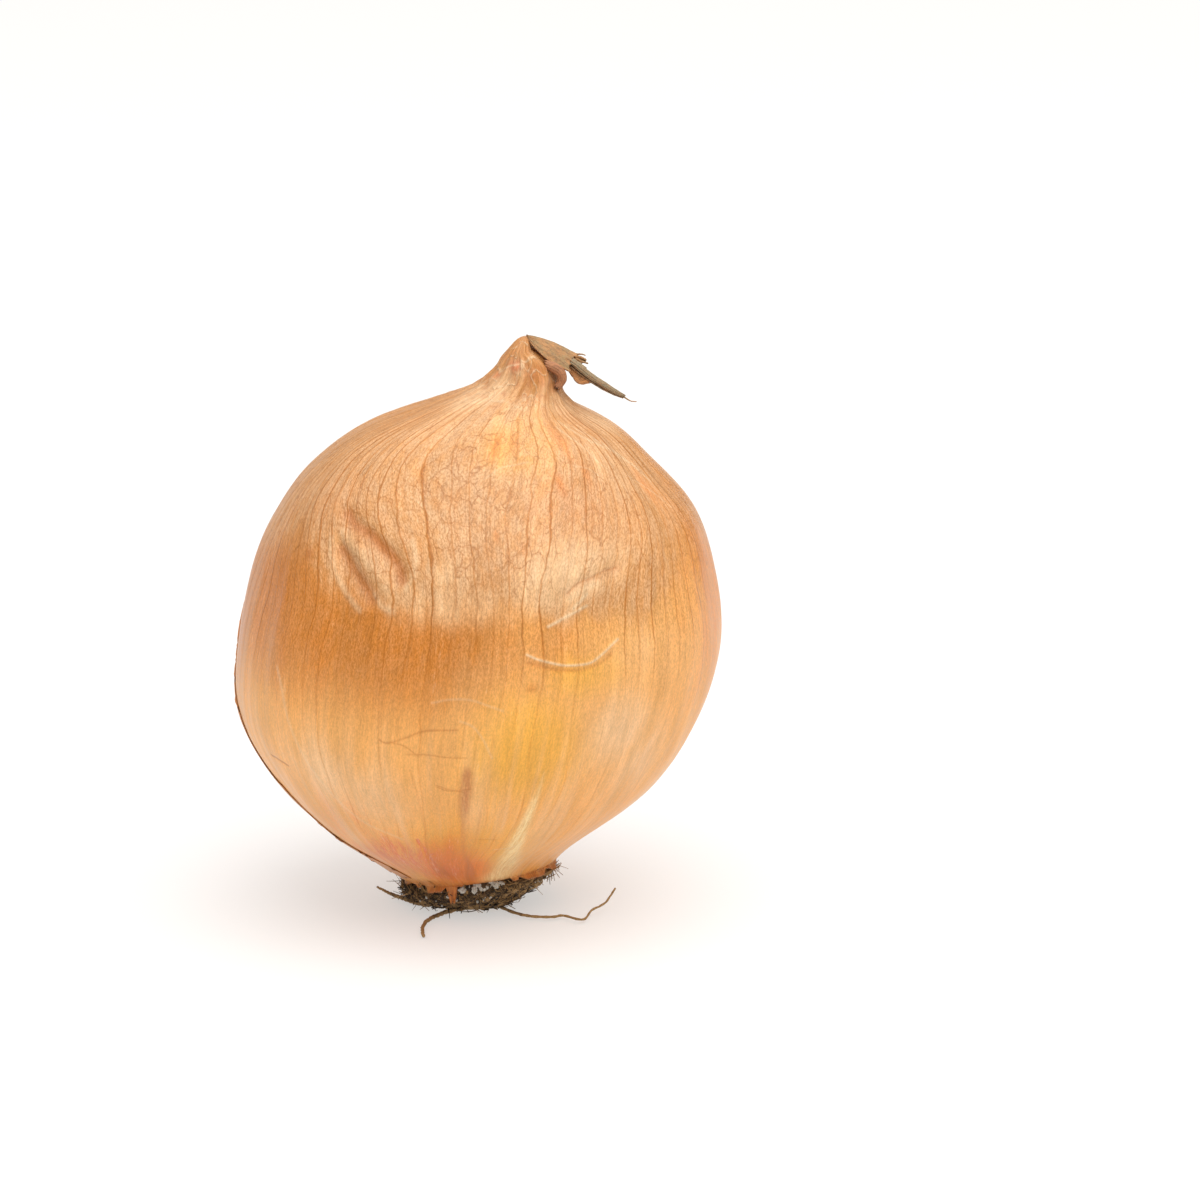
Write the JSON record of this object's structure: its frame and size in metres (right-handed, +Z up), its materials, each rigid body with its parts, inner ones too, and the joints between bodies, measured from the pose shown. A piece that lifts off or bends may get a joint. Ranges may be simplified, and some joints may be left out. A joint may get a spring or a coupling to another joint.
{
  "type": "onion",
  "caption": "Brown-skinned bulb onion standing on its dry root plate, with a pinched neck, a folded withered leaf top and a torn loose outer skin.",
  "frame": {"origin": "middle of the flat spot under the root plate that the onion stands on", "axes": "+Z up through the neck, +X to the onion's right as seen from its front, +Y to its back"},
  "size_m": [0.0793, 0.0777, 0.0948],
  "materials": {
    "onion_skin": "satin",
    "root_fibre": "matte",
    "dry_leaf": "matte",
    "loose_skin": "satin"
  },
  "bodies": {
    "root": {"bulb": "onion_skin", "root_plate": "root_fibre", "withered_leaf": "dry_leaf", "loose_skin": "loose_skin"}
  },
  "joints": []
}
